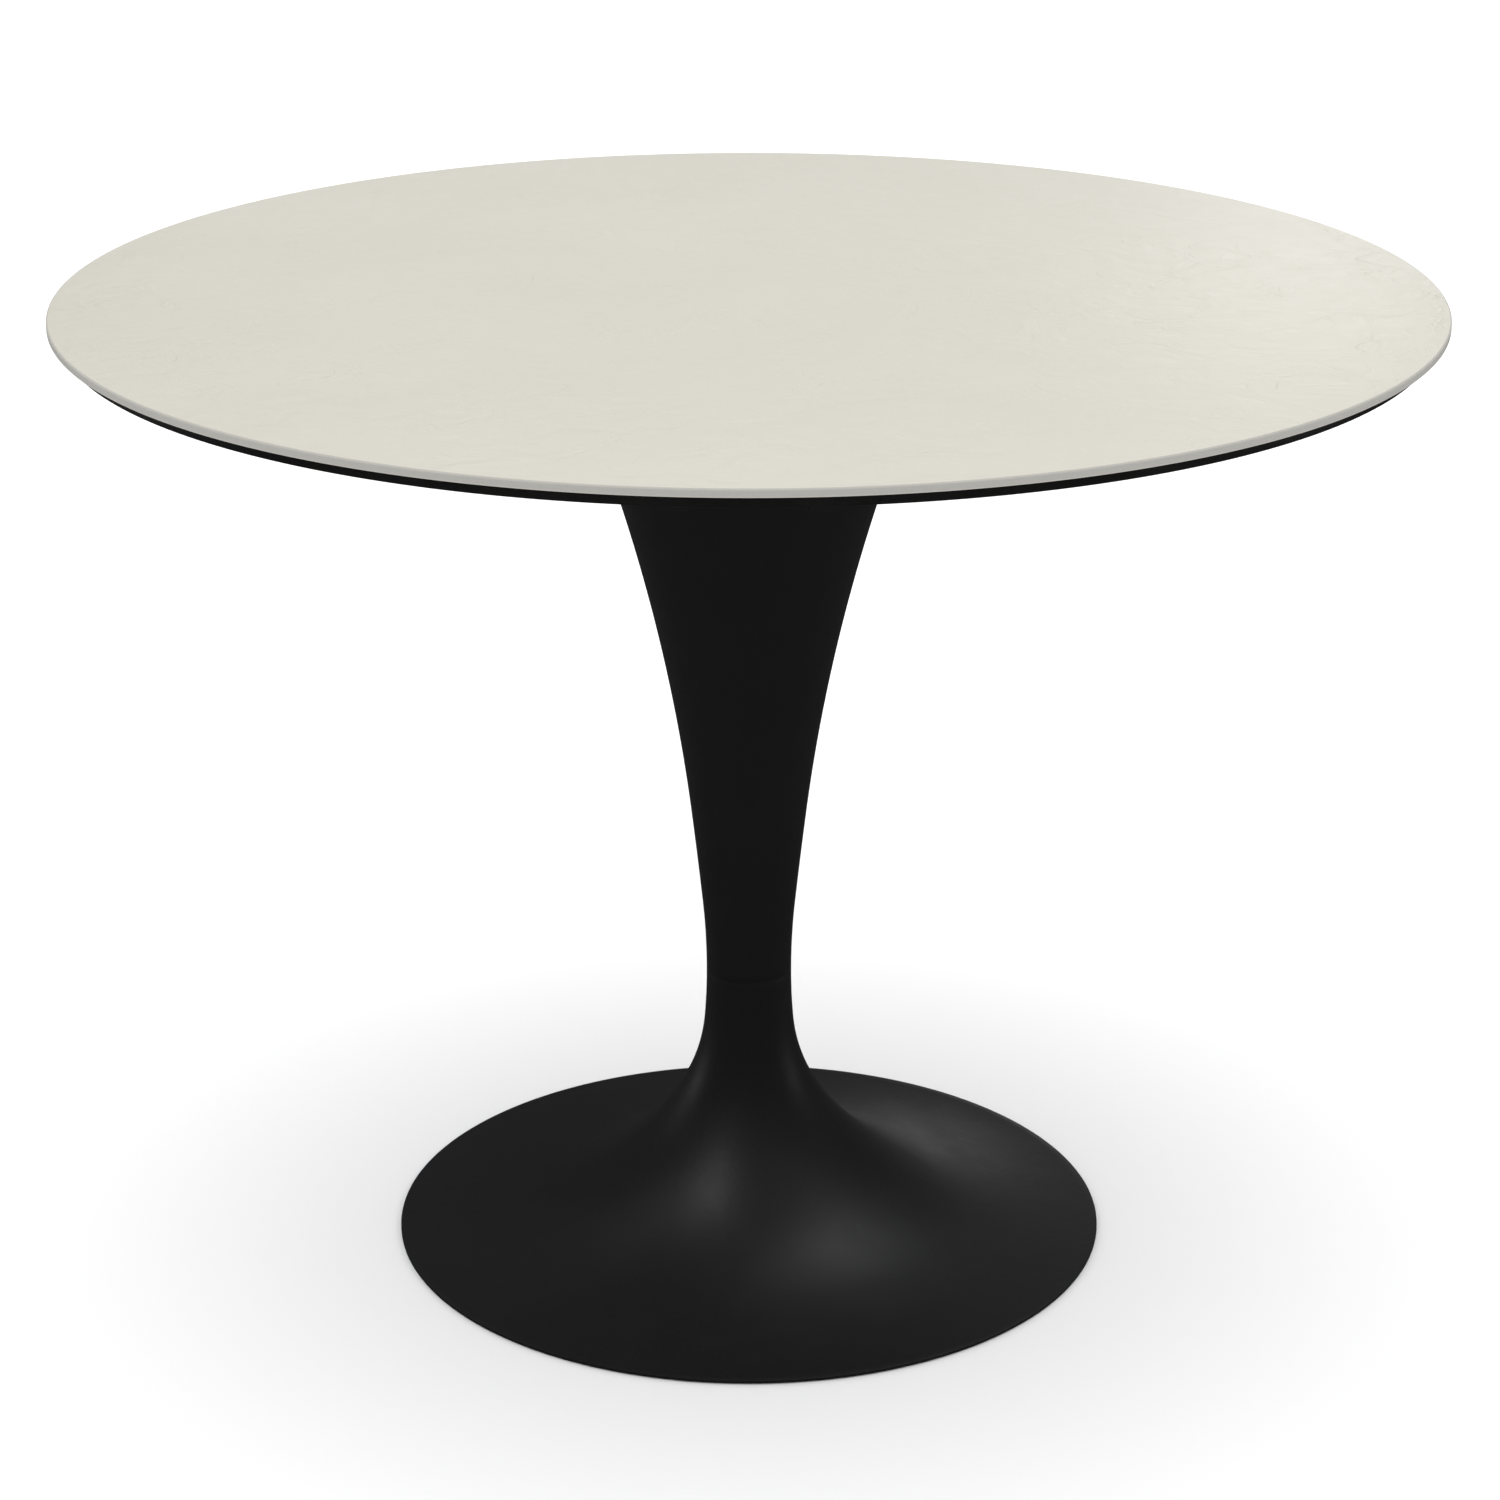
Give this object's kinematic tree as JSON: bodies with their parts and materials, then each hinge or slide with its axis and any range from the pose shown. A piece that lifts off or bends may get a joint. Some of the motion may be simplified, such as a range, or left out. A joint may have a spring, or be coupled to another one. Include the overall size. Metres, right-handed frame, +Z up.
{
  "type": "round pedestal table",
  "caption": "Round dining table: thin pale ceramic top on a black bevelled panel, carried by a trumpet-shaped black pedestal that narrows to a low neck and flares into a wide foot.",
  "frame": {"origin": "on the floor under the centre of the top", "axes": "+Z up along the centre line, -Y towards the front, +X to the right of someone facing the front"},
  "size_m": [0.9999, 1, 0.738],
  "materials": {
    "ceramic_slab": "matt, very slightly hammered",
    "adhesive": "matt",
    "black_lacquer": "satin lacquer",
    "brass_insert": "turned",
    "black_powder_coat": "satin powder coat",
    "black_powder_coat_iron": "satin powder coat",
    "black_plastic": "moulded",
    "black_oxide_steel": "black oxide",
    "zinc_steel": "zinc plated",
    "bare_iron": "as cast, primed",
    "black_rubber": "matt",
    "nylon": "moulded"
  },
  "bodies": {
    "table": {"ceramic_top": "ceramic_slab", "bond_layer": "adhesive", "support_panel": "black_lacquer", "panel_inserts": "brass_insert", "rail_left": "black_powder_coat", "rail_right": "black_powder_coat", "rail_end_caps": "black_plastic", "rail_screws": "black_oxide_steel", "rail_rivet_nuts": "zinc_steel", "top_plate": "black_powder_coat", "plate_bolts": "zinc_steel", "plate_washers": "zinc_steel", "column": "black_powder_coat", "neck_sleeve": "zinc_steel", "tie_rod": "zinc_steel", "rod_nut_upper": "zinc_steel", "rod_nut_lower": "zinc_steel", "rod_washer": "zinc_steel", "foot": "black_powder_coat_iron", "ballast_disc": "bare_iron", "ballast_bolts": "zinc_steel", "floor_ring": "black_rubber"},
    "pad_1": {"glide_pad_1": "nylon"},
    "stud_1": {"glide_stud_1": "zinc_steel"},
    "pad_2": {"glide_pad_2": "nylon"},
    "stud_2": {"glide_stud_2": "zinc_steel"},
    "pad_3": {"glide_pad_3": "nylon"},
    "stud_3": {"glide_stud_3": "zinc_steel"},
    "pad_4": {"glide_pad_4": "nylon"},
    "stud_4": {"glide_stud_4": "zinc_steel"}
  },
  "joints": [
    {"name": "glide_1_height", "type": "slide", "parent": "table", "child": "pad_1", "axis": [0, 0, -1], "range_m": [0, 0.006]},
    {"name": "glide_1_turn", "type": "hinge", "parent": "pad_1", "child": "stud_1", "pos_m": [0.1158, 0.1158, 0.005], "axis": [0, 0, -1], "range_deg": [0, 1728]},
    {"name": "glide_2_height", "type": "slide", "parent": "table", "child": "pad_2", "axis": [0, 0, -1], "range_m": [0, 0.006]},
    {"name": "glide_2_turn", "type": "hinge", "parent": "pad_2", "child": "stud_2", "pos_m": [-0.1158, 0.1158, 0.005], "axis": [0, 0, -1], "range_deg": [0, 1728]},
    {"name": "glide_3_height", "type": "slide", "parent": "table", "child": "pad_3", "axis": [0, 0, -1], "range_m": [0, 0.006]},
    {"name": "glide_3_turn", "type": "hinge", "parent": "pad_3", "child": "stud_3", "pos_m": [-0.1158, -0.1158, 0.005], "axis": [0, 0, -1], "range_deg": [0, 1728]},
    {"name": "glide_4_height", "type": "slide", "parent": "table", "child": "pad_4", "axis": [0, 0, -1], "range_m": [0, 0.006]},
    {"name": "glide_4_turn", "type": "hinge", "parent": "pad_4", "child": "stud_4", "pos_m": [0.1158, -0.1158, 0.005], "axis": [0, 0, -1], "range_deg": [0, 1728]}
  ],
  "couplings": [
    {"joint": "glide_1_turn", "follows": "glide_1_height", "rad_per_m": 5026.5},
    {"joint": "glide_2_turn", "follows": "glide_2_height", "rad_per_m": 5026.5},
    {"joint": "glide_3_turn", "follows": "glide_3_height", "rad_per_m": 5026.5},
    {"joint": "glide_4_turn", "follows": "glide_4_height", "rad_per_m": 5026.5}
  ]
}
